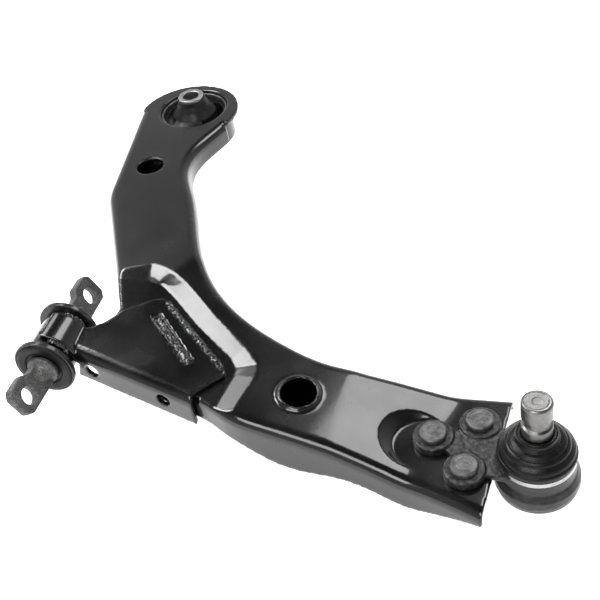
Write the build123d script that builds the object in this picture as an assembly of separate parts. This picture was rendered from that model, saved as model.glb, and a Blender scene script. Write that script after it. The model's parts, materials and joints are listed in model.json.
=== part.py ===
from build123d import *
from math import cos, radians, sin, tan
import os

# A lower control arm of stamped steel: a long rear leg and a short outboard
# beam with down-turned flanges, a welded bracket that carries the front pivot
# bushing, an upright rear bushing, and a riveted ball joint at the outer end.
#
# Frame: millimetres. The origin is the centre of the front bushing. +Y runs
# rearwards along the pivot axis through both bushings, +X points outboard to
# the ball joint, and +Z is up.

# ---------------------------------------------------------------- sheet metal
SHEET = 4.0                 # thickness of the arm's steel
BRACKET_SHEET = 4.0         # thickness of the bracket's steel
FOLD_RADIUS = 8.0           # outside radius of the arm's folded edges
CREASE_RADIUS = 60.0        # the gentle bends between the arm's top surfaces
END_X = 327.0               # the arm's raw outer end, at its rear corner
END_LEAN = 4.2              # degrees that the end's edge leans
LEG_Z = 12.0                # top of the rear leg, which is level
RIVET_PLATE_Z = -31.0       # top of the level plate under the ball joint
WEB_SLOPE = 9.0             # degrees that the beam falls along its length
WEB_HEADING = -30.0         # degrees from +X of the beam's fall line
WEB_START = 20.0            # distance along that line where the fall begins
DROP_POINT = (219.4, 7.0, -14.4)   # on the crease where the beam drops to the rivet plate
DROP_SLOPE = 14.5           # degrees of that drop
DROP_HEADING = -18.5        # degrees from +X of the drop's fall line

# ---------------------------------------------------------------- plan outline
# Clockwise from above, at the outside of the folded edges, after the round rear end.
INNER_EDGE = [(37, 270), (28, 243), (28.5, 216), (44, 182), (67.5, 129), (99, 75), (137, 44.5),
              (171, 29), (207, 20.8)]
OUTER_EDGE = [(225, 19.8), (248, 20), (283, 19.5), (350, 21.5)]
FRONT_EDGE = [(350, -95), (320, -82), (276, -66), (222, -54.5), (170, -47.3), (141, -41.2),
              (121, -32.3)]
INNER_END = [(26, -8.2), (36, 38), (-30.5, 171)]

# ---------------------------------------------------------------- rear eye
EYE_CENTRE = (0.0, 307.0)
EYE_BORE = 62.0
EYE_COLLAR_WALL = 3.5
EYE_COLLAR_DEPTH = 30.0
SKIRT_END = (43.5, 284.0)   # rearwards of this the eye is a flat plate without a skirt
SKIRT_TURN = -11.0          # degrees that the skirt's end turns rearwards on the inner side
EYE_CHAMFER = 1.0
EYE_TRIM = 1.0              # how far the flat eye's edge stays inside the folded outline
REAR_END_CENTRE = (-3.0, 300.5)
REAR_END_RADIUS = 47.7

# ---------------------------------------------------------------- underside and holes
LOWER_PLATE = 2.5           # thickness of the plate that closes the underside
LOWER_PLATE_END = 262.0     # X of its outer end
DEEP_END_Y = 30.0           # the flanges are deeper in front of this
BEAM_HOLE = (187.0, -13.0)
BEAM_HOLE_RADIUS = 12.4
COLLAR_RADIUS = 16.8
COLLAR_HEIGHT = 2.4
LEG_HOLE = (-7.0, 213.0)
LEG_HOLE_RADIUS = 11.5

POCKET_RADIUS = 21.5        # the level floor around the inner rivet
POCKET_LEAN = 12.0
POCKET_RISE = 10.0

# ---------------------------------------------------------------- recess
RECESS_ORIGIN = (20.0, 0.0, 6.0)   # a point of the recess's floor
RECESS_FALL_X = 0.1177             # fall of the floor per mm along +X
RECESS_RISE_Y = 0.0603             # rise of the floor per mm along +Y

# ---------------------------------------------------------------- bracket
FOLD_LINE = ((21.0, -13.0), (119.0, -36.9))   # outside of the bracket's front flange
FLANGE_DEPTH = 25.5
FLANGE_HOLES = ((33.0, -6.8), (92.6, -13.4))  # places of the flange's holes, as x and z
FLANGE_HOLE_RADIUS = 5.2

# ---------------------------------------------------------------- front pivot
TUBE_RADIUS = 18.0
TUBE_WALL = 3.0
TUBE_HALF = 19.0
CUP_FLANGE_RADIUS = 23.0
CUP_WALL = 1.6
PIN_RADIUS = 8.5
EAR_SPAN = 106.0            # between the two bolt holes
EAR_MIDDLE = 2.0            # the ears sit this far rearwards of the bushing
EAR_THICKNESS = 7.2
EAR_TILT = 60.0             # degrees from upright to the ears' plane
EAR_HOLE_RADIUS = 6.6

# ---------------------------------------------------------------- rear bushing
REAR_SLEEVE_WALL = 2.4
REAR_SLEEVE_TOP = 9.5
REAR_SLEEVE_BOTTOM = -19.0
INNER_RADIUS = 11.5
INNER_BORE = 7.25
INNER_TOP = 25.5
INNER_BOTTOM = -26.0

# ---------------------------------------------------------------- ball joint
BALL = (348.4, -33.2, -38.0)
BALL_RADIUS = 13.5
RACE_GAP = 0.05
RACE_WALL = 1.3
STUD_RADIUS = 10.0
STUD_TOP = 25.5
HOUSING_RADIUS = 27.3
LOBE_RADIUS = 13.6
LOBE_HEIGHT = 6.3
WEB_HEIGHT = 4.6            # height of the riveting flange between its lobes
RIVETS = [(280.7, -25.1), (309.2, -10.4), (304.8, -49.8)]
RIVET_HEAD_RADIUS = 9.2
RIVET_SHANK_RADIUS = 5.0

PARTS = {}


def slab_below(point, normal, size=1400):
    """Everything under a plane, as one thick block."""
    plane = Plane(origin=point, z_dir=normal)
    return plane * Pos(0, 0, -size / 2) * Box(size, size, size)


def fall_normal(slope, heading):
    """The upward normal of a plane that falls by slope towards heading."""
    run = sin(radians(slope))
    return (run * cos(radians(heading)), run * sin(radians(heading)), cos(radians(slope)))


WEB_NORMAL = fall_normal(WEB_SLOPE, WEB_HEADING)
WEB_POINT = (
    WEB_START * cos(radians(WEB_HEADING)),
    WEB_START * sin(radians(WEB_HEADING)),
    LEG_Z,
)
DROP_NORMAL = fall_normal(DROP_SLOPE, DROP_HEADING)
RECESS_NORMAL = (RECESS_FALL_X, -RECESS_RISE_Y, 1.0)


def web_z(x, y):
    """Height of the beam's top at a place in plan."""
    nx, ny, nz = WEB_NORMAL
    px, py, pz = WEB_POINT
    return pz - (nx * (x - px) + ny * (y - py)) / nz


def recess_z(x, y):
    """Height of the recess's floor at a place in plan."""
    ox, oy, oz = RECESS_ORIGIN
    return oz - RECESS_FALL_X * (x - ox) + RECESS_RISE_Y * (y - oy)


def moved(point, direction, distance):
    return tuple(p + d * distance for p, d in zip(point, direction))


# ------------------------------------------------------------------ stamping
def rounded(face, corners):
    """The face with the outline's corner nearest to each place rounded."""
    for place, radius in corners:
        corner = face.vertices().sort_by(lambda v: (v.X - place[0]) ** 2 + (v.Y - place[1]) ** 2)[0]
        face = fillet(corner, radius).face()
    return face


def inset_ring(ring, distance):
    """A clockwise closed ring of points, each moved inwards between its two sides."""
    moved_ring = []
    for before, here, after in zip(ring[-1:] + ring[:-1], ring, ring[1:] + ring[:1]):
        first = (Vector(*here) - Vector(*before)).normalized()
        second = (Vector(*after) - Vector(*here)).normalized()
        inward = Vector(first.Y + second.Y, -first.X - second.X).normalized()
        reach = distance / (inward.X * first.Y - inward.Y * first.X)
        moved_ring.append((here[0] + inward.X * reach, here[1] + inward.Y * reach))
    return moved_ring


def arm_outline(inset):
    """The arm in plan and past its outer end, inset from the outside of its folded edges."""
    cx, cy = REAR_END_CENTRE
    r = REAR_END_RADIUS
    ring = [(cx - r, cy - 4), (cx + r * cos(radians(18)), cy - r * sin(radians(18)))]
    ring = inset_ring(ring + INNER_EDGE + OUTER_EDGE + FRONT_EDGE + INNER_END, inset)
    r = r - inset
    left_tangent = (cx - r, cy - 4)
    right_tangent = (cx + r * cos(radians(18)), cy - r * sin(radians(18)))
    inner = 2 + len(INNER_EDGE)
    outer = inner + len(OUTER_EDGE)
    front = outer + len(FRONT_EDGE)
    with BuildLine() as line:
        ThreePointArc(left_tangent, (cx, cy + r), right_tangent)
        Spline(right_tangent, *ring[2:inner], tangents=[(-0.31, -0.95), (0.998, -0.05)])
        Polyline(*ring[inner - 1:outer + 1])
        Spline(*ring[outer:front], tangents=[(-0.92, 0.39), (-0.968, 0.252)])
        Polyline(*ring[front - 1:], left_tangent)
    corners = [(ring[inner], 120), (ring[inner + 1], 120), (ring[inner + 2], 120),
               (ring[front], 12 - inset), (ring[front + 1], 8.4), (ring[front + 2], 70 - inset),
               (left_tangent, 30)]
    return rounded(make_face(line.line), corners)


def roof(drop):
    """Everything under the arm's top surface, lowered by drop."""
    leg = slab_below((0, 0, LEG_Z - drop), (0, 0, 1))
    web = slab_below(moved(WEB_POINT, WEB_NORMAL, -drop), WEB_NORMAL)
    slope = slab_below(moved(DROP_POINT, DROP_NORMAL, -drop), DROP_NORMAL)
    plate = slab_below((0, 0, RIVET_PLATE_Z - drop), (0, 0, 1))
    return (leg & web & slope) + plate


def recess_cutter(drop):
    """The sunken seat for the bracket, with its ramps."""
    floor = [(-40, 62), (46, 70.5), (59, 68.5), (72, 58.5), (100, 33.5), (132, 8.5),
             (136.7, 2), (137.8, -7), (130, -60), (-40, -60)]
    brim = [(-46, 78), (46, 88), (64, 77.5), (79, 68), (107, 43.8), (140, 17.5),
            (149.3, 5), (151.4, -6.5), (142, -70), (-46, -70)]
    lift = 30.0
    low = [(x, y, recess_z(x, y) - drop) for x, y in floor]
    high = []
    for (fx, fy), (bx, by) in zip(floor, brim):
        top = min(LEG_Z, web_z(bx, by))
        rise = top - recess_z(fx, fy)
        grow = lift / max(rise, 3.0)
        high.append((fx + (bx - fx) * grow, fy + (by - fy) * grow))
    high = [(x, y, recess_z(x, y) - drop + lift) for x, y in high]
    bottom = Face(Wire.make_polygon([Vector(*p) for p in low], close=True))
    top = Face(Wire.make_polygon([Vector(*p) for p in high], close=True))
    return loft([bottom, top], ruled=True)


def pocket_cutter(drop):
    """The level floor around the inner rivet, cut into the dropping slope."""
    x, y = RIVETS[0]
    radius = POCKET_RADIUS + drop * 0.4
    foot = (Align.CENTER, Align.CENTER, Align.MIN)
    bowl = Cone(radius, radius + POCKET_LEAN, POCKET_RISE, align=foot)
    return Pos(x - 5.5, y - 4, RIVET_PLATE_Z - drop) * bowl


def arm_body(inset):
    """The arm as a solid block, its whole surface inset by a distance."""
    body = (Pos(0, 0, -90) * extrude(arm_outline(inset), 140) & roof(inset)).solid()
    body = body.fillet(CREASE_RADIUS, creases(body))
    body = body.fillet(FOLD_RADIUS - inset, rim(body))
    return body - recess_cutter(inset) - pocket_cutter(inset)


def sides(edge, body):
    return [f for f in body.faces() if any(edge.is_same(e) for e in f.edges())]


def creases(body):
    """The edges between two top surfaces."""
    found = []
    for edge in body.edges():
        slopes = [f.normal_at(f.center()).Z for f in sides(edge, body)]
        if len(slopes) == 2 and min(slopes) > 0.5:
            found.append(edge)
    return found


def rim(body):
    """The edges between the top surfaces and the upright walls, but for the outer end's."""
    found = []
    for edge in body.edges():
        place = edge.center()
        if place.Z < -60 or place.X > END_X + 10:
            continue
        slopes = [abs(f.normal_at(f.center()).Z) for f in sides(edge, body)]
        if len(slopes) == 2 and min(slopes) < 0.2 < max(slopes):
            found.append(edge)
    return found


def below(first):
    """What lies under an edge that starts with some XZ points and ends as the beam's."""
    edge = first + [(150, -34), (176, -46), (200, -48), (225, -46.5), (246, -50.5),
                    (264, -55), (292, -50), (322, -41.5), (400, -41.5)]
    with BuildLine(Plane.XZ) as line:
        Spline(*edge)
        Polyline(edge[-1], (400, -140), (-120, -140), edge[0])
    return extrude(make_face(line.line), 500, both=True)


def lower_cutter():
    """What lies under the flanges' lower edge, which is deeper behind the bracket."""
    front = Pos(0, DEEP_END_Y - 500, 0) * Box(1200, 1000, 600)
    leg = below([(-120, -9.5), (96, -11), (128, -21)])
    beam = below([(-120, -9.5), (20, -13.6), (96, -22), (121, -26.5), (135, -29.5)])
    return (leg - front) + (beam & front)


def lower_plate(inside):
    """The plate that closes the arm's underside, flush with the flanges' lower edge."""
    plate = (inside & Pos(0, -LOWER_PLATE, LOWER_PLATE) * lower_cutter()) - lower_cutter()
    ex, ey = EYE_CENTRE
    plate = plate - Pos(ex, ey, 0) * Cylinder(EYE_BORE / 2 + EYE_COLLAR_WALL + 3, 200)
    plate = plate - eye_region()
    plate = plate - Pos(LOWER_PLATE_END + 150, 0, 0) * Box(300, 400, 300)
    return max(plate.solids(), key=lambda solid: solid.volume)


def eye_region():
    """Everything rearwards of the skirt's end."""
    return Pos(*SKIRT_END, 0) * Rot(0, 0, SKIRT_TURN) * Pos(0, 100, 0) * Box(400, 200, 300)


def flat_eye(arm):
    """The arm with its rear eye left as a flat plate."""
    region = eye_region()
    level = LEG_Z - SHEET
    plate = region & Pos(0, 0, level) * extrude(arm_outline(EYE_TRIM), SHEET)
    return arm - (region & slab_below((0, 0, level), (0, 0, 1))) + plate


def arm_stamping(inside):
    arm = flat_eye(arm_body(0.0) - inside - lower_cutter())
    ex, ey = EYE_CENTRE
    collar_radius = EYE_BORE / 2 + EYE_COLLAR_WALL
    collar = Pos(ex, ey, LEG_Z - EYE_COLLAR_DEPTH / 2) * Cylinder(collar_radius, EYE_COLLAR_DEPTH)
    arm = arm + collar
    arm = arm - Pos(ex, ey, 0) * Cylinder(EYE_BORE / 2, 120)
    head = (Align.CENTER, Align.CENTER, Align.MAX)
    chamfer = Cone(EYE_BORE / 2, EYE_BORE / 2 + EYE_CHAMFER, EYE_CHAMFER, align=head)
    arm = arm - Pos(ex, ey, LEG_Z) * chamfer
    hole_plane = Plane(origin=(*BEAM_HOLE, web_z(*BEAM_HOLE)), z_dir=WEB_NORMAL)
    rise = Cone(COLLAR_RADIUS + 0.8, BEAM_HOLE_RADIUS + 1.6, COLLAR_HEIGHT + SHEET / 2)
    under = Cone(COLLAR_RADIUS - 2.6, BEAM_HOLE_RADIUS - 0.6, COLLAR_HEIGHT + SHEET)
    arm = arm + hole_plane * Pos(0, 0, COLLAR_HEIGHT / 2 - SHEET / 4) * rise
    arm = arm - hole_plane * Pos(0, 0, -SHEET / 2 - 0.5) * under
    arm = arm - hole_plane * Cylinder(BEAM_HOLE_RADIUS, 30)
    arm = arm - Pos(*LEG_HOLE, 0) * Cylinder(LEG_HOLE_RADIUS, 60)
    for x, y in RIVETS:
        arm = arm - Pos(x, y, RIVET_PLATE_Z) * Cylinder(RIVET_SHANK_RADIUS, 30)
    relief = Pos(*SKIRT_END, 0) * Rot(0, 0, 18) * Box(12, 2.4, 32)
    end = Pos(END_X, 15.5, 0) * Rot(0, 0, -END_LEAN) * Pos(100, 0, 0) * Box(200, 400, 300)
    return arm - relief - end - bend_relief()


# ------------------------------------------------------------------ bracket
def bracket_outline():
    """The bracket in plan, open on its folded front side."""
    with BuildLine() as line:
        Polyline((15, 12.4), (15, -60), (115.5, -60), (116.5, -30), (133.8, -8.2), (131.8, -3.6),
                 (71, 50.2), (66, 51.8), (60, 49.5), (41.5, 34))
        Spline((41.5, 34), (31.5, 19.3), (24.5, 13.4), (15, 12.4), tangents=[(-0.6, -0.8), (-1, 0)])
    face = make_face(line.line)
    return rounded(face, [((116.5, -30), 6), ((133.8, -8.2), 2.5), ((60, 49.5), 20)])


def fold_frame():
    """The start of the bracket's fold line, with its directions along, up and inwards."""
    up = Vector(*RECESS_NORMAL).normalized()
    start, end = [Vector(x, y, recess_z(x, y) + BRACKET_SHEET / up.Z) for x, y in FOLD_LINE]
    along = (end - start).normalized()
    return start - along * 20, along, up.cross(along)


def folded_sheet():
    """A long sheet on the recess's floor, folded down along the bracket's front."""
    start, along, inward = fold_frame()
    r, t, reach = FOLD_RADIUS, BRACKET_SHEET, 150.0
    with BuildSketch(Plane(origin=start, x_dir=inward, z_dir=along)) as section:
        with BuildLine():
            Line((reach, 0), (r, 0))
            RadiusArc((r, 0), (0, -r), -r)
            Polyline((0, -r), (0, -FLANGE_DEPTH), (t, -FLANGE_DEPTH), (t, -r))
            RadiusArc((t, -r), (r, -t), r - t)
            Polyline((r, -t), (reach, -t), (reach, 0))
        make_face()
    return extrude(section.sketch, 170, dir=along)


def bend_relief():
    """Clears the arm's front edge from the inside of the bracket's bend and flange."""
    start, along, inward = fold_frame()
    r, t, gap = FOLD_RADIUS, BRACKET_SHEET, 0.1
    bottom = -FLANGE_DEPTH - 1
    with BuildSketch(Plane(origin=start, x_dir=inward, z_dir=along)) as section:
        with BuildLine():
            Polyline((t + gap, -r), (t + gap, bottom), (t - 1, bottom), (t - 1, 1 - t),
                     (r, 1 - t), (r, -t - gap))
            RadiusArc((r, -t - gap), (t + gap, -r), r - t - gap)
        make_face()
    return extrude(section.sketch, 122, dir=along)


def front_bracket():
    outline = Pos(0, 0, -80) * extrude(bracket_outline(), 140)
    sheet = folded_sheet() & outline
    sheet = sheet - Rot(90, 0, 0) * Cylinder(TUBE_RADIUS, 200)
    sheet = sheet - Pos(6.5, -18, -16) * Rot(0, 18, 0) * Box(22, 24, 34)
    sheet = sheet + tube_tongue()
    slot = Pos(85.5, 15.3, recess_z(85.5, 15.3)) * Rot(0, 0, -44.6) * Box(54, 7, 40)
    sheet = sheet - slot
    for x, z in FLANGE_HOLES:
        sheet = sheet - Pos(x, -30, z) * Rot(90, 0, 0) * Cylinder(FLANGE_HOLE_RADIUS, 60)
    return sheet


def tube_tongue():
    """The part of the bracket that is wrapped over the front bushing's tube."""
    ring = Cylinder(TUBE_RADIUS + BRACKET_SHEET, 25.5) - Cylinder(TUBE_RADIUS, 25.5)
    ring = Rot(90, 0, 0) * ring
    with BuildLine(Plane.XZ) as line:
        Polyline((0, 0), (40, 6), (40, 40), (-5, 40), (0, 0))
    wedge = extrude(make_face(line.line), 60, both=True)
    return Pos(0, 0.3, 0) * (ring & wedge)


# ------------------------------------------------------------------ welds
def bead(start, end, radius):
    """A weld bead: a round bar with round ends from start to end."""
    a, b = Vector(*start), Vector(*end)
    along = b - a
    bar = Plane(origin=(a + b) * 0.5, z_dir=along) * Cylinder(radius, along.length)
    return bar + Pos(*a) * Sphere(radius) + Pos(*b) * Sphere(radius)


def weld_beads():
    top = BRACKET_SHEET
    edge_start = (71.9, 46.7, recess_z(71.9, 46.7) + top * 0.6)
    edge_end = (129.4, -4.2, recess_z(129.4, -4.2) + top * 0.6)
    PARTS["bracket_edge_weld"] = bead(edge_start, edge_end, 2.9)
    slot_start = (68.7, 31.8, recess_z(68.7, 31.8) + top * 0.5)
    slot_end = (102.3, -1.3, recess_z(102.3, -1.3) + top * 0.5)
    PARTS["bracket_slot_weld"] = bead(slot_start, slot_end, 3.45)
    beads = []
    for y in (-13.6, 14.2):
        beads.append([(tube_point(a, y, 1.4)) for a in (68, 50, 32)])
    beads.append([tube_point(95, y, 1.4) for y in (-9, 0, 9.6)])
    solids = []
    for route in beads:
        run = bead(route[0], route[1], 2.4) + bead(route[1], route[2], 2.4)
        solids.append(run - Rot(90, 0, 0) * Cylinder(TUBE_RADIUS, 200))
    PARTS["tube_weld"] = Compound(children=solids)


def tube_point(angle, y, out):
    """A point on the bushing's tube, angle degrees up from +X."""
    r = TUBE_RADIUS + out
    return (r * cos(radians(angle)), y, r * sin(radians(angle)))


# ------------------------------------------------------------------ front pivot
def turned(profile, plane=Plane.XZ):
    """A solid of revolution about the vertical axis from (radius, height) points."""
    with BuildLine(plane) as line:
        Polyline(*profile, profile[0])
    return revolve(make_face(line.line), Axis.Z)


def along_pivot(solid):
    """Turns a solid built along +Z so that it lies along +Y."""
    return Rot(-90, 0, 0) * solid


def front_tube():
    tube = Cylinder(TUBE_RADIUS, 2 * TUBE_HALF) - Cylinder(TUBE_RADIUS - TUBE_WALL, 2 * TUBE_HALF)
    return along_pivot(tube)


def bushing_cup():
    """One flanged steel cup of the front bushing, at the +Z end of the tube."""
    outer = TUBE_RADIUS - TUBE_WALL
    inner = outer - CUP_WALL
    face = TUBE_HALF + CUP_WALL
    return turned([
        (inner, 1.0), (outer, 1.0), (outer, TUBE_HALF), (CUP_FLANGE_RADIUS, TUBE_HALF),
        (CUP_FLANGE_RADIUS, face + 2.2), (CUP_FLANGE_RADIUS - CUP_WALL, face + 2.2),
        (CUP_FLANGE_RADIUS - CUP_WALL, face), (inner, face),
    ])


def bushing_rubber():
    """One half of the front bushing's rubber, bonded into its cup."""
    bore = PIN_RADIUS + 0.06
    inner = TUBE_RADIUS - TUBE_WALL - CUP_WALL
    face = TUBE_HALF + CUP_WALL
    return turned([
        (bore, 1.0), (inner, 1.0), (inner, face), (CUP_FLANGE_RADIUS - CUP_WALL, face),
        (CUP_FLANGE_RADIUS - CUP_WALL, face + 2.6), (19.5, face + 3.6), (14.5, face + 3.6),
        (13.8, face + 1.8), (bore, face + 1.8),
    ])


def ear(sign):
    """One flat eyed end of the bar pin, at the +Y or -Y end."""
    top, bottom, end, neck = 13.6, 10.2, 12.6, 10.4
    with BuildSketch() as sketch:
        with BuildLine():
            Polyline((-top, -7), (-top, 8), (-9.5, end), (6, end), (bottom, 8), (bottom, -8),
                     (neck, -14), (neck, -26), (-9.2, -26), (-9.2, -12), close=True)
        make_face()
        fillet(sketch.vertices(), 4.2)
        Circle(EAR_HOLE_RADIUS, mode=Mode.SUBTRACT)
    plate = extrude(sketch.sketch, EAR_THICKNESS / 2, both=True)
    if sign < 0:
        plate = Rot(180, 0, 0) * plate
    return Pos(0, EAR_MIDDLE + sign * EAR_SPAN / 2, 0) * Rot(0, EAR_TILT, 0) * plate


def bar_pin():
    """The forged pin through the front bushing, with a flat eye at each end."""
    face = TUBE_HALF + CUP_WALL
    step = face + 1.9
    barrel = turned([
        (0, -step - 14), (4.0, -step - 14), (7.4, -step - 6), (9.6, -step - 4.6), (11.6, -step - 3.8),
        (11.6, -step), (PIN_RADIUS, -step), (PIN_RADIUS, step),
        (11.6, step), (11.6, step + 3.8), (9.6, step + 4.6), (7.4, step + 7),
        (4.0, step + 18), (0, step + 18),
    ])
    shaft = along_pivot(barrel)
    for sign in (-1, 1):
        shaft = shaft + ear(sign)
    reach = Pos(0, EAR_MIDDLE, 0)
    for sign in (-1, 1):
        bolt = Rot(0, EAR_TILT, 0) * Cylinder(EAR_HOLE_RADIUS, 60)
        shaft = shaft - reach * Pos(0, sign * EAR_SPAN / 2, 0) * bolt
    return shaft


# ------------------------------------------------------------------ rear bushing
def rear_bushing():
    ex, ey = EYE_CENTRE
    at = Pos(ex, ey, 0)
    outer = EYE_BORE / 2
    inner = outer - REAR_SLEEVE_WALL
    PARTS["rear_bush_outer_sleeve"] = at * turned([
        (inner, REAR_SLEEVE_BOTTOM), (outer, REAR_SLEEVE_BOTTOM), (outer, REAR_SLEEVE_TOP),
        (inner, REAR_SLEEVE_TOP),
    ])
    rubber = turned([
        (INNER_RADIUS, -21), (16, -21), (19, -16), (inner, -15), (inner, 5), (24, 6.5),
        (20.5, 8.5), (16, 14), (13, 20), (12.4, 23.5), (INNER_RADIUS, 23.5),
    ])
    for heading in (0, 180):
        void = Rot(0, 0, heading) * crescent(20.5, 26.5, 52)
        rubber = rubber - void
    PARTS["rear_bush_rubber"] = at * rubber
    PARTS["rear_bush_inner_sleeve"] = at * turned([
        (INNER_BORE, INNER_BOTTOM), (INNER_RADIUS - 0.8, INNER_BOTTOM),
        (INNER_RADIUS, INNER_BOTTOM + 0.8), (INNER_RADIUS, INNER_TOP - 0.8),
        (INNER_RADIUS - 0.8, INNER_TOP), (INNER_BORE + 0.6, INNER_TOP), (INNER_BORE, INNER_TOP - 0.6),
    ])


def crescent(inner, outer, half_angle):
    """An upright arc-shaped void about the +X direction."""
    ring = Cylinder(outer, 80) - Cylinder(inner, 80)
    edge = 80.0
    a = radians(half_angle)
    with BuildSketch() as sketch:
        with BuildLine():
            Polyline((0, 0), (edge * cos(a), -edge * sin(a)), (edge * 1.5, 0),
                     (edge * cos(a), edge * sin(a)), close=True)
        make_face()
    return ring & extrude(sketch.sketch, 40, both=True)


# ------------------------------------------------------------------ ball joint
def lobed_plate():
    """The ball joint's riveting flange: three round lobes around a web."""
    bx, by, bz = BALL
    with BuildSketch() as sketch:
        for x, y in RIVETS:
            with Locations((x, y)):
                Circle(LOBE_RADIUS)
        with BuildLine():
            Polyline(*[RIVETS[0], RIVETS[2], (bx - 10, by - 21), (bx - 10, by + 20), RIVETS[1]], close=True)
        make_face()
        with Locations((bx, by)):
            Circle(HOUSING_RADIUS - 3)
    plate = Pos(0, 0, RIVET_PLATE_Z) * extrude(sketch.sketch, WEB_HEIGHT)
    for x, y in RIVETS:
        plate = plate + Pos(x, y, RIVET_PLATE_Z) * Cylinder(
            LOBE_RADIUS, LOBE_HEIGHT, align=(Align.CENTER, Align.CENTER, Align.MIN))
        plate = plate - Pos(x, y, RIVET_PLATE_Z) * Cylinder(RIVET_SHANK_RADIUS, 60)
    return plate


def ball_joint():
    bx, by, bz = BALL
    at = Pos(bx, by, bz)
    cavity = 19.5
    cup = at * turned([
        (0, -16), (22.6, -16), (24.4, -14.8), (26.6, -9.4), (HOUSING_RADIUS, -8.4),
        (HOUSING_RADIUS, -1.5),
        (25.2, 1.6), (24.2, 2.6), (24.2, 10.5), (22.6, 11), (22.6, 14.6), (0, 14.6),
    ])
    housing = lobed_plate() + cup
    housing = housing - at * turned([
        (0, -20), (cavity, -20), (cavity, 9.5), (15.5, 10.5), (16.5, 15), (0, 15),
    ])
    housing = housing - at * turned([(22.6, 11), (26, 11), (26, 22), (22.6, 22)])
    PARTS["ball_joint_housing"] = housing
    PARTS["ball_joint_base_cap"] = at * turned([
        (0, -15.6), (cavity, -15.6), (cavity, -13.4), (15, -13.4), (12, -14), (0, -14.4),
    ])
    ball_sits(at, cavity)


def race(at, inner, outer, open_angle, low):
    """A spherical shell about the ball's centre, open at the top and cut at the bottom."""
    shell = Sphere(outer) - Sphere(inner)
    reach = 60.0
    half = radians(open_angle)
    mouth = Cone(0, reach * tan(half), reach, align=(Align.CENTER, Align.CENTER, Align.MIN))
    return at * (shell - mouth - Pos(0, 0, low - 20) * Box(80, 80, 40))


def ball_sits(at, cavity):
    """The ball stud, its two moving races and the fixed seat around them."""
    inner_race = BALL_RADIUS + RACE_GAP
    outer_race = inner_race + RACE_WALL + RACE_GAP
    seat_bore = outer_race + RACE_WALL + RACE_GAP
    PARTS["seat_inner_race"] = race(at, inner_race, inner_race + RACE_WALL, 36, -9.0)
    PARTS["seat_outer_race"] = race(at, outer_race, outer_race + RACE_WALL, 54, -9.0)
    seat = turned([(0, -13.3), (cavity, -13.3), (cavity, 9.4), (0, 9.4)]) - Sphere(seat_bore)
    mouth = Cone(0, 60 * tan(radians(62)), 60, align=(Align.CENTER, Align.CENTER, Align.MIN))
    PARTS["ball_seat"] = at * (seat - mouth)
    neck, top = 7.2, STUD_TOP - BALL[2]
    shank = turned([
        (0, 8), (neck, 8), (neck, 17), (8.6, 30), (STUD_RADIUS, 36), (STUD_RADIUS, 43.2),
        (8.1, 44.6), (8.1, 49.4), (STUD_RADIUS, 50.8), (STUD_RADIUS, top - 1.6),
        (STUD_RADIUS - 1.6, top), (0, top),
    ])
    PARTS["ball_stud"] = at * (Sphere(BALL_RADIUS) + shank)
    boot_parts(at)


def boot_parts(at):
    PARTS["boot"] = at * turned([
        (24.2, 15), (24.2, 20.5), (21.5, 24), (17.5, 27), (14.5, 31), (12.6, 33), (12.6, 35.6),
        (10.4, 35.6), (10.4, 32.5), (12.5, 28.5), (15.5, 25), (19.5, 22), (21.4, 19.5), (21.4, 15),
    ])
    PARTS["boot_lower_ring"] = at * turned([(22.7, 11.2), (24.6, 11.2), (24.6, 14.6), (22.7, 14.6)])
    PARTS["boot_upper_ring"] = at * turned([(12.7, 33.2), (13.7, 33.2), (13.7, 35.4), (12.7, 35.4)])


def rivets():
    """Three solid rivets with flat heads on the lobes and set heads under the plate."""
    solids = []
    top = RIVET_PLATE_Z + LOBE_HEIGHT
    under = RIVET_PLATE_Z - SHEET
    for x, y in RIVETS:
        body = turned([
            (0, under - 4), (5.6, under - 4), (7.6, under - 1.4), (7.6, under),
            (RIVET_SHANK_RADIUS, under), (RIVET_SHANK_RADIUS, top), (RIVET_HEAD_RADIUS, top),
            (RIVET_HEAD_RADIUS, top + 2.6), (RIVET_HEAD_RADIUS - 1.2, top + 4.2), (0, top + 4.2),
        ])
        solids.append(Pos(x, y, 0) * body)
    return Compound(children=solids)


def build():
    inside = arm_body(SHEET)
    PARTS["arm_stamping"] = arm_stamping(inside)
    PARTS["arm_lower_plate"] = lower_plate(inside)
    PARTS["front_bracket"] = front_bracket()
    weld_beads()
    PARTS["front_bush_tube"] = front_tube()
    PARTS["front_bush_rear_cup"] = along_pivot(bushing_cup())
    PARTS["front_bush_front_cup"] = Rot(0, 0, 180) * along_pivot(bushing_cup())
    PARTS["front_bush_rear_rubber"] = along_pivot(bushing_rubber())
    PARTS["front_bush_front_rubber"] = Rot(0, 0, 180) * along_pivot(bushing_rubber())
    PARTS["bar_pin"] = bar_pin()
    rear_bushing()
    ball_joint()
    PARTS["ball_joint_rivets"] = rivets()


def write():
    os.makedirs("parts", exist_ok=True)
    for name, solid in PARTS.items():
        export_step(solid, f"parts/{name}.step")
        print(name, round(solid.volume), "mm3")


build()
write()
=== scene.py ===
import json
import math
import random

import bmesh
import bpy
from mathutils import Matrix, Vector, noise


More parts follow.
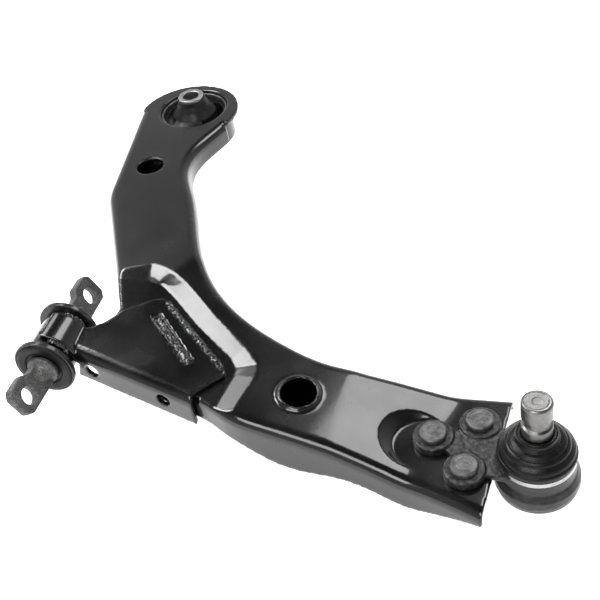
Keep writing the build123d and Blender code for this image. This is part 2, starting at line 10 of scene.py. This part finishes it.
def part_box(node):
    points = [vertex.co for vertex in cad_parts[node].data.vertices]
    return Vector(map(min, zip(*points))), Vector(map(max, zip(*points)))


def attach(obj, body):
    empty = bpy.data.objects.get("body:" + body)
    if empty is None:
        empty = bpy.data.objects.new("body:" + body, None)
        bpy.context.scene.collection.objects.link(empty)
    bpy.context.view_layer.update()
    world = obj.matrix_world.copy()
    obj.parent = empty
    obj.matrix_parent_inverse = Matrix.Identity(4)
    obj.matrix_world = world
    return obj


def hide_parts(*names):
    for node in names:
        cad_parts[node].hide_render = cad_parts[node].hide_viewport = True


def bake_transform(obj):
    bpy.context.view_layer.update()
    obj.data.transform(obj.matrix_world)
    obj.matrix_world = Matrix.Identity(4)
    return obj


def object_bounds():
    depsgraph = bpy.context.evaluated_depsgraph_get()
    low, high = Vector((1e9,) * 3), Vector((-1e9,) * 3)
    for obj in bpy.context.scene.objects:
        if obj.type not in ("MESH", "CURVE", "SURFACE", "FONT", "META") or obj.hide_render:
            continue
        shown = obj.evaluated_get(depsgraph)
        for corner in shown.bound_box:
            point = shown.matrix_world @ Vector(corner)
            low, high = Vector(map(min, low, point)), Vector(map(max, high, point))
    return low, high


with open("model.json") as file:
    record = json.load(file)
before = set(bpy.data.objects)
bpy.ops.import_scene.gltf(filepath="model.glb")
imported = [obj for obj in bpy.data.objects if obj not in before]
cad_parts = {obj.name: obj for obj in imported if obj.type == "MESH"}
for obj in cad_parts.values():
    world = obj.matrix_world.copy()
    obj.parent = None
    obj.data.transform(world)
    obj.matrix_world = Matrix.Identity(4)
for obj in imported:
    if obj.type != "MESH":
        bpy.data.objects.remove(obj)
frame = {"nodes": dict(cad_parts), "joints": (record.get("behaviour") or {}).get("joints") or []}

CAD_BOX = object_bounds()
MM = 0.001
WELD_VOXEL = 0.4            # millimetres
BALL_RADIUS = 13.5          # millimetres

# Places of the object's axes, as the record gives them, in metres.
JOINTS = {joint["name"]: joint for joint in frame["joints"]}
FRONT = Vector(JOINTS["bar_pin_twist"]["pos_m"])
REAR = Vector(JOINTS["rear_sleeve_tilt"]["pos_m"])
BALL = Vector(JOINTS["ball_spin"]["pos_m"])


# ------------------------------------------------------------------ mesh tools
def add_object(name, mesh):
    """A new object in the scene that shows a mesh."""
    obj = bpy.data.objects.new(name, mesh)
    bpy.context.scene.collection.objects.link(obj)
    return obj


def smooth_shaded(obj):
    obj.data.polygons.foreach_set("use_smooth", [True] * len(obj.data.polygons))
    return obj


def applied(obj):
    """The object with its modifiers made part of its mesh."""
    shape = obj.evaluated_get(bpy.context.evaluated_depsgraph_get())
    mesh = bpy.data.meshes.new_from_object(shape)
    obj.modifiers.clear()
    obj.data = mesh
    return obj


def cad_copy(node, name):
    """A free copy of a CAD node's mesh, with its faces joined up."""
    mesh = bpy.data.meshes.new(name)
    bm = bmesh.new()
    bm.from_mesh(frame["nodes"][node].data)
    bmesh.ops.remove_doubles(bm, verts=bm.verts, dist=2e-6)
    bm.to_mesh(mesh)
    bm.free()
    return add_object(name, mesh)


def remesh(obj, voxel, rounds):
    """Turns the object into an even skin of small faces with its edges softened."""
    grid = obj.modifiers.new("grid", "REMESH")
    grid.mode = "VOXEL"
    grid.voxel_size = voxel * MM
    soften = obj.modifiers.new("soften", "SMOOTH")
    soften.factor = 0.5
    soften.iterations = rounds
    return smooth_shaded(applied(obj))


def roughen(obj, *layers):
    """Moves the skin in and out by noise; each layer is a size and a depth in millimetres."""
    normals = [vertex.normal.copy() for vertex in obj.data.vertices]
    for vertex, normal in zip(obj.data.vertices, normals):
        push = sum(noise.noise(vertex.co / (size * MM)) * depth for size, depth in layers)
        vertex.co += normal * push * MM
    return obj


def softened(profile, radius, closed, cuts=4):
    """A profile with its corners rounded."""
    count = len(profile)
    result = []
    for i, (x, y) in enumerate(profile):
        if not closed and i in (0, count - 1):
            result.append((x, y))
            continue
        corner = Vector((x, y))
        before = Vector(profile[i - 1]) - corner
        after = Vector(profile[(i + 1) % count]) - corner
        start = corner + before.normalized() * min(radius, before.length * 0.45)
        end = corner + after.normalized() * min(radius, after.length * 0.45)
        for step in range(cuts + 1):
            t = step / cuts
            point = start * (1 - t) ** 2 + corner * 2 * t * (1 - t) + end * t ** 2
            result.append(tuple(point))
    return result


def lathe(name, profile, at, radius=0.5, closed=True, steps=120, along="Z"):
    """A turned shape from (radius, height) points in millimetres, about an axis through a place."""
    bm = bmesh.new()
    ring = [bm.verts.new((r * MM, 0, z * MM)) for r, z in softened(profile, radius, closed)]
    pairs = list(zip(ring, ring[1:]))
    if closed:
        pairs.append((ring[-1], ring[0]))
    edges = [bm.edges.new(pair) for pair in pairs]
    bmesh.ops.spin(bm, geom=ring + edges, cent=(0, 0, 0), axis=(0, 0, 1),
                   angle=2 * math.pi, steps=steps)
    bmesh.ops.remove_doubles(bm, verts=bm.verts, dist=1e-6)
    bmesh.ops.recalc_face_normals(bm, faces=bm.faces)
    if along == "Y":
        bmesh.ops.rotate(bm, verts=bm.verts, matrix=Matrix.Rotation(math.radians(-90), 3, "X"))
    if along == "-Y":
        bmesh.ops.rotate(bm, verts=bm.verts, matrix=Matrix.Rotation(math.radians(90), 3, "X"))
    bmesh.ops.translate(bm, verts=bm.verts, vec=at)
    mesh = bpy.data.meshes.new(name)
    bm.to_mesh(mesh)
    bm.free()
    obj = smooth_shaded(add_object(name, mesh))
    obj.modifiers.new("even_normals", "WEIGHTED_NORMAL")
    return obj


def finish_piece(obj, body, slot_name, material, *nodes):
    """Gives a piece its material and its body, and hides the CAD nodes that it stands for; the slot
    name is not used.
    """
    obj.data.materials.clear()
    obj.data.materials.append(material)
    if body:
        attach(obj, body)
    if nodes:
        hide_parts(*nodes)
    return obj


# ------------------------------------------------------------------ material tools
class Finish:
    """A Principled material with its procedural inputs, in the object's own coordinates."""

    def __init__(self, name, **settings):
        self.material = bpy.data.materials.new(name)
        self.material.use_nodes = True
        self.tree = self.material.node_tree
        self.shader = self.tree.nodes["Principled BSDF"]
        self.place = self.tree.nodes.new("ShaderNodeTexCoord").outputs["Object"]
        for socket, value in settings.items():
            self.shader.inputs[socket.replace("_", " ")].default_value = value

    def node(self, kind, inputs=(), **settings):
        """A new node, with each of its inputs linked to a socket or set to a value."""
        made = self.tree.nodes.new(kind)
        for setting, value in settings.items():
            setattr(made, setting, value)
        for socket, value in dict(inputs).items():
            if isinstance(value, bpy.types.NodeSocket):
                self.tree.links.new(value, made.inputs[socket])
            else:
                made.inputs[socket].default_value = value
        return made

    def noise(self, size, detail=3.0, roughness=0.55, place=None):
        """Noise with features of a size in millimetres."""
        inputs = {"Vector": place or self.place, "Scale": 1 / (size * MM), "Detail": detail,
                  "Roughness": roughness}
        return self.node("ShaderNodeTexNoise", inputs).outputs["Fac"]

    def cells(self, size):
        """Distance to the nearest of scattered points that lie about a size apart."""
        inputs = {"Vector": self.place, "Scale": 1 / (size * MM)}
        return self.node("ShaderNodeTexVoronoi", inputs).outputs["Distance"]

    def spread(self, value, low, high, to_low, to_high):
        """A value spread from one range to another and held inside it."""
        inputs = {"Value": value, "From Min": low, "From Max": high, "To Min": to_low,
                  "To Max": to_high}
        return self.node("ShaderNodeMapRange", inputs).outputs["Result"]

    def math(self, operation, first, second=0.0):
        return self.node("ShaderNodeMath", {0: first, 1: second}, operation=operation).outputs[0]

    def about(self, centre, scale):
        """Coordinates measured from a place, in metres, each with a scale of its own."""
        shifted = self.node("ShaderNodeVectorMath", {0: self.place, 1: centre}, operation="SUBTRACT")
        return self.node("ShaderNodeVectorMath", {0: shifted.outputs[0], 1: scale},
                         operation="MULTIPLY").outputs[0]

    def radius(self, centre):
        """Distance from an upright line through a place, in metres."""
        flat = self.about(centre, (1, 1, 0))
        return self.node("ShaderNodeVectorMath", {0: flat}, operation="LENGTH").outputs["Value"]

    def blend(self, share, first, second):
        """A colour between two, by a share."""
        made = self.node("ShaderNodeMix", data_type="RGBA")
        self.tree.links.new(share, made.inputs["Factor"])
        for socket, value in ((made.inputs[6], first), (made.inputs[7], second)):
            if isinstance(value, bpy.types.NodeSocket):
                self.tree.links.new(value, socket)
            else:
                socket.default_value = (*value, 1.0)
        return made.outputs[2]

    def bump(self, height, depth, after=None):
        """Raised and sunken detail, with its depth in millimetres."""
        inputs = {"Height": height, "Strength": 1.0, "Distance": depth * MM}
        if after:
            inputs["Normal"] = after
        return self.node("ShaderNodeBump", inputs).outputs["Normal"]

    def set(self, socket, value):
        self.tree.links.new(value, self.shader.inputs[socket])

    def done(self, colour, roughness=None, normal=None):
        """The finished material, with its colour, roughness and relief linked."""
        for socket, value in (("Base Color", colour), ("Roughness", roughness), ("Normal", normal)):
            if value:
                self.set(socket, value)
        return self.material


def grey(level, warmth=0.0):
    return (level * (1 + warmth), level, level * (1 - warmth))


# ------------------------------------------------------------------ finishes
def black_paint():
    """Gloss black electro-coat: slight orange peel, fine dust and a few dull patches."""
    paint = Finish("black_paint", Coat_Weight=0.45, Coat_Roughness=0.04, Specular_IOR_Level=0.25)
    dust = paint.spread(paint.noise(0.5, 2), 0.68, 0.78, 0, 1)
    patches = paint.spread(paint.noise(45, 4), 0.35, 0.7, 0, 1)
    colour = paint.blend(paint.math("MULTIPLY", dust, patches), grey(0.0012), grey(0.01))
    roughness = paint.spread(patches, 0, 1, 0.16, 0.30)
    peel = paint.bump(paint.noise(3.2, 2), 0.006)
    grain = paint.bump(paint.noise(0.35, 2), 0.004, peel)
    paint.set("Coat Normal", grain)
    return paint.done(colour, roughness, grain)


def weld_paint():
    """The same coat over a weld: glossier, with soot and spatter grain."""
    paint = Finish("weld_paint", Coat_Weight=0.45, Coat_Roughness=0.05, Specular_IOR_Level=0.25)
    grain = paint.noise(1.1, 4, 0.6)
    colour = paint.blend(paint.spread(grain, 0.5, 0.8, 0, 1), grey(0.0015), grey(0.012))
    roughness = paint.spread(paint.noise(4, 3), 0.3, 0.7, 0.1, 0.3)
    normal = paint.bump(grain, 0.12)
    paint.set("Coat Normal", normal)
    return paint.done(colour, roughness, normal)


def cup_steel():
    """The bushing cups' satin black, worn a little lighter in places."""
    steel = Finish("cup_steel", Coat_Weight=0.3, Coat_Roughness=0.1, Specular_IOR_Level=0.2)
    wear = steel.spread(steel.noise(6, 5, 0.65), 0.5, 0.75, 0, 1)
    colour = steel.blend(wear, grey(0.003), grey(0.025))
    roughness = steel.spread(steel.noise(9, 3), 0.3, 0.7, 0.22, 0.42)
    return steel.done(colour, roughness, steel.bump(steel.noise(0.7, 3), 0.03))


def rubber(name, level, gloss):
    """Moulded rubber: fine grain, bloom in cloudy patches, small nicks."""
    skin = Finish(name, Specular_IOR_Level=0.15)
    bloom = skin.spread(skin.noise(7, 5, 0.6), 0.4, 0.75, 0, 1)
    nicks = skin.spread(skin.cells(2.6), 0.0, 0.16, 1, 0)
    colour = skin.blend(bloom, grey(level * 0.6), grey(level * 1.5))
    roughness = skin.spread(skin.noise(4, 4), 0.3, 0.7, gloss - 0.08, gloss + 0.12)
    grain = skin.bump(skin.noise(0.5, 4, 0.6), 0.05)
    return skin.done(colour, roughness, skin.bump(nicks, 0.05, grain))


def forged_steel():
    """Raw shot-blasted forging, darker in its pits and hollows."""
    steel = Finish("forged_steel", Metallic=0.75)
    pits = steel.noise(1.0, 4, 0.7)
    cloud = steel.noise(9, 4, 0.6)
    mixed = steel.math("MULTIPLY", steel.spread(pits, 0.35, 0.65, 0, 1),
                       steel.spread(cloud, 0.25, 0.7, 0.35, 1))
    colour = steel.blend(mixed, grey(0.02), grey(0.15, 0.01))
    roughness = steel.spread(cloud, 0.3, 0.7, 0.62, 0.45)
    coarse = steel.bump(steel.noise(3.5, 3), 0.25)
    return steel.done(colour, roughness, steel.bump(pits, 0.22, coarse))


def dark_forging():
    """Dark phosphated forging with a rough, lumpy skin and rubbed high spots."""
    steel = Finish("dark_forging", Metallic=0.6)
    lumps = steel.noise(2.4, 5, 0.62)
    colour = steel.blend(steel.spread(lumps, 0.42, 0.72, 0, 1), grey(0.006), grey(0.045))
    roughness = steel.spread(steel.noise(1.2, 3), 0.3, 0.7, 0.28, 0.45)
    coarse = steel.bump(lumps, 0.16)
    return steel.done(colour, roughness, steel.bump(steel.noise(0.6, 3), 0.06, coarse))


def housing_steel():
    """The housing's machined wall: dark satin with faint turning lines."""
    steel = Finish("housing_steel", Metallic=0.5)
    lines = steel.noise(0.5, 2, place=steel.about(BALL, (0.02, 0.02, 1.0)))
    cloud = steel.noise(5, 4)
    colour = steel.blend(steel.spread(cloud, 0.35, 0.7, 0, 1), grey(0.008), grey(0.025))
    roughness = steel.spread(cloud, 0.3, 0.7, 0.3, 0.42)
    return steel.done(colour, roughness, steel.bump(lines, 0.03))


def sleeve_steel():
    """Dull rolled steel."""
    steel = Finish("sleeve_steel", Metallic=0.85)
    cloud = steel.noise(5, 5, 0.65)
    colour = steel.blend(steel.spread(cloud, 0.35, 0.7, 0, 1), grey(0.03), grey(0.12))
    roughness = steel.spread(cloud, 0.3, 0.7, 0.42, 0.3)
    return steel.done(colour, roughness, steel.bump(steel.noise(0.6, 3), 0.04))


def turned_steel(name, centre, level, gloss, ring, depth=0.012):
    """Bright steel with turning lines round an upright axis and on its end face."""
    steel = Finish(name, Metallic=1.0)
    lines = steel.noise(ring, 2, place=steel.about(centre, (0.03, 0.03, 1.0)))
    away = steel.radius(centre)
    swirl = steel.math("SINE", steel.math("MULTIPLY", away, 2 * math.pi / (ring * 1.6 * MM)))
    cloud = steel.noise(3.5, 5, 0.65)
    colour = steel.blend(steel.spread(cloud, 0.35, 0.72, 0, 1), grey(level, 0.012),
                         grey(level * 0.72, 0.012))
    roughness = steel.spread(steel.noise(1.6, 4), 0.3, 0.7, gloss, gloss + 0.14)
    first = steel.bump(lines, depth)
    return steel.done(colour, roughness, steel.bump(swirl, depth * 0.35, first))


def rivet_steel():
    """Pale plated steel with hammered spots."""
    steel = Finish("rivet_steel", Metallic=0.8)
    cloud = steel.noise(3.2, 5, 0.65)
    colour = steel.blend(steel.spread(cloud, 0.35, 0.7, 0, 1), grey(0.04), grey(0.11))
    roughness = steel.spread(cloud, 0.3, 0.7, 0.5, 0.4)
    dents = steel.bump(steel.cells(2.4), 0.03)
    return steel.done(colour, roughness, steel.bump(steel.noise(0.5, 3), 0.03, dents))


def acetal():
    """Natural polymer of the ball's seat."""
    plastic = Finish("acetal", Subsurface_Weight=0.05)
    cloud = plastic.noise(6, 3)
    colour = plastic.blend(cloud, (0.55, 0.52, 0.42), (0.66, 0.63, 0.53))
    roughness = plastic.spread(plastic.noise(1.5, 3), 0.3, 0.7, 0.35, 0.5)
    return plastic.done(colour, roughness, plastic.bump(plastic.noise(0.8, 2), 0.02))


def floor_white():
    paper = Finish("floor_white", Roughness=0.9, Emission_Strength=0.95)
    paper.shader.inputs["Emission Color"].default_value = (1, 1, 1, 1)
    cloud = paper.noise(300, 2)
    return paper.done(paper.blend(cloud, grey(0.34), grey(0.36)))


PAINT = black_paint()
WELD = weld_paint()
CUP = cup_steel()
RUBBER = rubber("bush_rubber", 0.004, 0.42)
BLACK_RUBBER = rubber("black_rubber", 0.004, 0.36)
BOOT = rubber("boot_rubber", 0.003, 0.26)
FORGED = forged_steel()
FORGING = dark_forging()
HOUSING = housing_steel()
SLEEVE = sleeve_steel()
BRIGHT = turned_steel("stud_steel", BALL, 0.16, 0.26, 1.1, 0.001)
INNER = turned_steel("inner_sleeve_steel", REAR, 0.4, 0.3, 0.6, 0.004)
RING = turned_steel("clip_steel", BALL, 0.35, 0.15, 0.5)
DARK_RING = turned_steel("dark_clip_steel", BALL, 0.04, 0.3, 0.5)
RIVET = rivet_steel()
POLYMER = acetal()


# ------------------------------------------------------------------ sheet metal
def arm():
    piece = remesh(cad_copy("arm_stamping", "arm"), 1.0, 6)
    finish_piece(piece, "arm", "black_paint", PAINT, "arm_stamping")


def bracket():
    piece = remesh(cad_copy("front_bracket", "bracket"), 0.9, 4)
    finish_piece(piece, "arm", "black_paint", PAINT, "front_bracket")


# ------------------------------------------------------------------ welds
def blobs(name, places):
    """Overlapping round lumps, each with a place in metres and a size in millimetres."""
    bm = bmesh.new()
    for place, size in places:
        shape = Matrix.Translation(place) @ Matrix.Diagonal((*[s * MM for s in size], 1.0))
        bmesh.ops.create_icosphere(bm, subdivisions=2, radius=1.0, matrix=shape)
    mesh = bpy.data.meshes.new(name)
    bm.to_mesh(mesh)
    bm.free()
    return add_object(name, mesh)


def run_of_weld(start, end, width, rng, height=2.0, step=1.5):
    """Places and sizes of the ripples along one straight weld."""
    a, b = Vector(start), Vector(end)
    across = (b - a).cross(Vector((0, 0, 1))).normalized()
    count = max(2, round((b - a).length / (step * MM)))
    for i in range(count + 1):
        sway = across * rng.uniform(-0.35, 0.35) * MM
        swell = rng.uniform(0.82, 1.15)
        size = (width * swell, width * swell, height * rng.uniform(0.8, 1.2))
        yield a.lerp(b, i / count) + sway, size


def ends_of(node, inset, lift):
    """The rear left and front right ends of a sloping weld's bar, inset from its box."""
    low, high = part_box(node)
    step = inset * MM
    rise = lift * MM
    start = Vector((low.x + step, high.y - step, high.z - step + rise))
    end = Vector((high.x - step, low.y + step, low.z + step + rise))
    return start, end


def edge_weld(rng):
    radius = 2.9
    start, end = ends_of("bracket_edge_weld", radius, 1.4)
    bead = remesh(blobs("edge_weld", run_of_weld(start, end, radius, rng)), WELD_VOXEL, 2)
    roughen(bead, (2.0, 0.5))
    finish_piece(bead, "arm", "weld", WELD, "bracket_edge_weld")


def slot_weld(rng):
    """Two thin ridges and a sunken middle, which end in one rough blob."""
    start, end = ends_of("bracket_slot_weld", 3.4, 0)
    along = (end - start).normalized()
    side = along.cross(Vector((0, 0, 1))).normalized() * 3.1 * MM
    middle = start.lerp(end, 0.62)
    top = Vector((0, 0, 2.4 * MM))
    ridge = {"width": 1.25, "rng": rng, "height": 1.3, "step": 0.6}
    places = list(run_of_weld(start + side + top, middle + side + top, **ridge))
    places += run_of_weld(start - side + top, middle - side + top, **ridge)
    places += run_of_weld(start + side + top, start - side + top, **ridge)
    places += run_of_weld(start, end, 3.4, rng, 2.0, 0.6)
    blob_start = middle + top * 0.6
    blob_end = end + along * 3 * MM + top * 0.6
    places += run_of_weld(blob_start, blob_end, 4.4, rng, 2.6, 2.6)
    bead = remesh(blobs("slot_weld", places), WELD_VOXEL, 2)
    roughen(bead, (5.0, 0.9), (1.6, 0.35))
    finish_piece(bead, "arm", "weld", WELD, "bracket_slot_weld")


def welds():
    rng = random.Random(7)
    edge_weld(rng)
    slot_weld(rng)
    beads = remesh(cad_copy("tube_weld", "tube_weld_beads"), 0.45, 2)
    roughen(beads, (2.2, 1.2), (0.9, 0.4))
    finish_piece(beads, "arm", "weld", WELD, "tube_weld")


# ------------------------------------------------------------------ front bushing
def bush_profiles():
    """The front bushing's cup and rubber, as (radius, distance from the middle) in millimetres."""
    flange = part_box("front_bush_rear_cup")[1].x / MM
    pin, sheet = 8.6, 1.6
    bore = 15 - sheet
    face = 20.6
    rim = face + 2.2
    cup = [(bore, 1), (15, 1), (15, face - sheet), (flange, face - sheet), (flange, rim),
           (flange - sheet, rim), (flange - sheet, face), (bore, face)]
    soft = [(pin, 1), (bore, 1), (bore, face), (flange - sheet, face), (flange - sheet, rim + 0.2),
            (19.4, rim + 1.2), (14.6, rim + 1.0), (13.6, face + 1.6), (pin, face + 1.6)]
    return cup, soft


def front_bushing():
    cup, soft = bush_profiles()
    for end, along in (("rear", "Y"), ("front", "-Y")):
        shell = lathe(f"{end}_cup", cup, FRONT, 0.7, along=along)
        finish_piece(shell, "arm", "cup_steel", CUP, f"front_bush_{end}_cup")
        filling = lathe(f"{end}_rubber", soft, FRONT, 1.0, along=along)
        finish_piece(filling, "arm", "rubber", RUBBER, f"front_bush_{end}_rubber")
    pin = remesh(cad_copy("bar_pin", "forged_pin"), 0.7, 4)
    finish_piece(pin, "bar_pin", "forged_steel", FORGED, "bar_pin")


# ------------------------------------------------------------------ ball joint
def housing_plate():
    """The forged lobes, cut off level where the turned cup goes on."""
    plate = remesh(cad_copy("ball_joint_housing", "housing_plate"), 0.6, 3)
    lowest = BALL.z - BALL_RADIUS * MM
    for vertex in plate.data.vertices:
        vertex.co.z = max(vertex.co.z, lowest)
    roughen(plate, (5.0, 0.3), (1.6, 0.1))
    finish_piece(plate, "arm", "dark_forging", FORGING, "ball_joint_housing")


def housing_cup():
    bore, waist, belt = 21, 24.5, 27.5
    lip = 22.7
    wall = [(19.6, -13.8), (23.6, -13.9), (25.8, -12.6), (26.9, -8.0), (26.7, -7.4), (belt, -6.8),
            (belt, -1.8), (25.5, 1.6), (waist, 2.8), (waist, 10.6), (lip, 11.1), (lip, 14.5),
            (bore, 14.5), (bore, -10), (19.6, -12)]
    cup = lathe("housing_cup", wall, BALL, 0.5)
    finish_piece(cup, "arm", "dark_forging", HOUSING)


def stud():
    neck, shank, groove, top = 7.2, 10, 8.1, 63.5
    dimple = top - 0.25
    profile = [(0, -BALL_RADIUS)]
    for angle in range(-83, 64, 7):
        a = math.radians(angle)
        profile.append((BALL_RADIUS * math.cos(a), BALL_RADIUS * math.sin(a)))
    profile += [(neck, 17), (8.6, 30), (9.9, 36), (shank, 43.2), (groove, 44.4), (groove, 49.6),
                (shank, 50.8), (shank, top - 1.3), (8.9, top - 0.1), (7.4, top), (7.0, dimple),
                (3.2, dimple), (2.8, top - 0.1), (0, top - 0.1)]
    turned = lathe("stud", profile, BALL, 0.5, closed=False)
    finish_piece(turned, "stud", "bright_steel", BRIGHT, "ball_stud")


def boot():
    """The boot's ribbed skin, in two lengths that stay fixed in place."""
    lower = [(21.4, 14.8), (24.0, 14.6), (25.2, 16.0), (25.4, 18.6), (24.9, 19.8), (24.2, 20.1),
             (24.1, 20.9), (24.3, 21.6), (23.6, 23.2), (21.8, 24.9), (21.0, 25.4), (20.8, 26.4),
             (19.4, 26.4), (19.4, 24.4), (21.4, 20.0)]
    upper = [(19.4, 26.0), (20.9, 26.0), (20.8, 26.8), (19.6, 28.0), (18.4, 28.5), (18.1, 29.1),
             (16.2, 30.4), (14.4, 31.0), (13.9, 31.7), (13.0, 32.6), (12.7, 33.4), (12.7, 35.0),
             (12.0, 35.8), (10.3, 35.8), (10.3, 33.2), (13.4, 30.0), (17.4, 27.4)]
    skirt = lathe("boot_skirt", lower, BALL, 0.5)
    finish_piece(skirt, None, "boot_rubber", BOOT, "boot")
    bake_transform(skirt)
    neck = lathe("boot_neck", upper, BALL, 0.5)
    finish_piece(neck, None, "boot_rubber", BOOT)
    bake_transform(neck)


def rivet_profile(low, high):
    """A rivet from its raised head to its set head, between two heights in millimetres."""
    top, under = high - 4.2, low + 4.0
    shank, set_head, rim = 5.0, 7.6, 9.3
    return [(0, top + 4.0), (4.4, top + 4.0), (4.8, top + 3.75), (6.3, top + 3.9),
            (8.3, top + 3.8), (9.2, top + 2.9), (rim, top + 0.1), (shank, top), (shank, under),
            (set_head, under), (set_head - 0.2, under - 1.5), (5.6, low), (0, low)]


def rivets():
    low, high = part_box("ball_joint_rivets")
    profile = rivet_profile(low.z / MM, high.z / MM)
    middle = (low.y + high.y) / 2
    radius = 9.2 * MM
    places = [(low.x + radius, middle + 5.0 * MM), (high.x - radius, high.y - radius),
              (high.x - radius - 4.4 * MM, low.y + radius)]
    for number, (x, y) in enumerate(places, 1):
        piece = lathe(f"rivet_{number}", profile, Vector((x, y, 0)), 0.45, closed=False)
        nodes = ["ball_joint_rivets"] if number == 1 else []
        finish_piece(piece, "arm", "rivet_steel", RIVET, *nodes)


# ------------------------------------------------------------------ rear bushing
def rear_bushing():
    """The outer sleeve, the rubber and the inner sleeve, measured from the middle of the eye."""
    bore, outside, foot, top = 28.6, 31, -19, 9.7
    ring = [(bore, foot), (outside, foot), (outside, 9.0), (30.4, top), (29.2, top), (bore, 9.0)]
    sleeve = lathe("outer_sleeve", ring, REAR, 0.4)
    finish_piece(sleeve, "arm", "sleeve_steel", SLEEVE, "rear_bush_outer_sleeve")
    filling = remesh(cad_copy("rear_bush_rubber", "rear_rubber"), 0.6, 4)
    roughen(filling, (9.0, 0.5), (2.5, 0.15))
    finish_piece(filling, "arm", "rubber", BLACK_RUBBER, "rear_bush_rubber")
    bore, outside, foot, top = 7.25, 11.5, -26, 25.5
    tube = [(bore, foot), (10.9, foot), (outside, -25.4), (outside, 25.0), (11.1, top),
            (7.9, top), (bore, 24.9)]
    inner = lathe("inner_sleeve", tube, REAR, 0.25)
    finish_piece(inner, "rear_sleeve", "bright_steel", INNER, "rear_bush_inner_sleeve")


# ------------------------------------------------------------------ CAD nodes that stay
def dress(node, material):
    obj = frame["nodes"][node]
    obj.data.materials.clear()
    obj.data.materials.append(material)


def dress_cad():
    finishes = {
        # The arm's lower plate closes the underside as a box section, and is also a dark sheet that
        # stands in for the shade seen through the arm's holes.
        "front_bush_tube": PAINT, "arm_lower_plate": PAINT, "ball_joint_base_cap": SLEEVE,
        "seat_inner_race": POLYMER, "seat_outer_race": POLYMER, "ball_seat": POLYMER,
        "boot_lower_ring": RING, "boot_upper_ring": DARK_RING,
    }
    for node, material in finishes.items():
        dress(node, material)


# ------------------------------------------------------------------ studio
def softbox(name, heading, elevation, distance, width, height, radiance):
    """A rectangular light that faces the object; heading is measured from +Y towards +X."""
    centre = (CAD_BOX[0] + CAD_BOX[1]) / 2
    h, e = math.radians(heading), math.radians(elevation)
    away = Vector((math.sin(h) * math.cos(e), math.cos(h) * math.cos(e), math.sin(e)))
    light = bpy.data.lights.new(name, "AREA")
    light.shape = "RECTANGLE"
    light.size = width
    light.size_y = height
    light.energy = radiance * 4 * width * height
    obj = add_object(name, light)
    obj.location = centre + away * distance
    obj.rotation_mode = "QUATERNION"
    obj.rotation_quaternion = away.to_track_quat("Z", "Y")
    obj.visible_camera = False
    return obj


def sky():
    """A pale horizon that falls off to a dark ceiling, as in a studio with flags overhead."""
    world = bpy.data.worlds.new("sky")
    world.use_nodes = True
    nodes, links = world.node_tree.nodes, world.node_tree.links
    place = nodes.new("ShaderNodeTexCoord").outputs["Generated"]
    split = nodes.new("ShaderNodeSeparateXYZ")
    ramp = nodes.new("ShaderNodeValToRGB")
    links.new(place, split.inputs[0])
    links.new(split.outputs["Z"], ramp.inputs[0])
    links.new(ramp.outputs[0], nodes["Background"].inputs["Color"])
    stops = ((0.0, 0.95), (0.30, 0.85), (0.50, 0.62), (0.60, 0.44), (0.70, 0.07), (1.0, 0.03))
    elements = ramp.color_ramp.elements
    while len(elements) < len(stops):
        elements.new(0.5)
    for element, (position, level) in zip(elements, stops):
        element.position = position
        element.color = (level, level, level, 1)
    bpy.context.scene.world = world


def studio():
    floor_z = CAD_BOX[0].z - 0.3 * MM
    mesh = bpy.data.meshes.new("floor")
    reach = 6.0
    corners = [(-reach, -reach, floor_z), (reach, -reach, floor_z), (reach, reach, floor_z),
               (-reach, reach, floor_z)]
    mesh.from_pydata(corners, [], [(0, 1, 2, 3)])
    floor = add_object("floor", mesh)
    mesh.materials.append(floor_white())
    softbox("left_box", -77, 52, 1.5, 0.74, 0.56, 14.0)
    softbox("corner_box", -47, 43, 1.5, 0.24, 0.22, 6.0)
    softbox("back_right_box", 25, 58, 1.5, 0.6, 0.6, 8.0)
    softbox("front_left_box", -172, 46, 1.6, 0.9, 0.6, 8.0)
    fill = softbox("overhead_fill", 0, 90, 2.0, 3.4, 3.4, 4.5)
    fill.visible_glossy = False
    sky()
    scene = bpy.context.scene
    scene.view_settings.view_transform = "Standard"
    scene.view_settings.look = "None"


def camera():
    """The camera looks down from the front right, turned a little about its own axis."""
    data = bpy.data.cameras.new("camera")
    data.sensor_width = 36.0
    data.lens = 64.2
    obj = add_object("camera", data)
    turn, tip, roll = math.radians(22.6), math.radians(40.4), math.radians(-11.0)
    aim = (Matrix.Rotation(turn, 4, "Z") @ Matrix.Rotation(math.radians(90) - tip, 4, "X")
           @ Matrix.Rotation(roll, 4, "Z"))
    obj.matrix_world = Matrix.Translation((0.3965, -0.4821, 0.5075)) @ aim
    bpy.context.scene.camera = obj


arm()
bracket()
welds()
front_bushing()
rear_bushing()
housing_plate()
housing_cup()
stud()
boot()
rivets()
dress_cad()
studio()
camera()
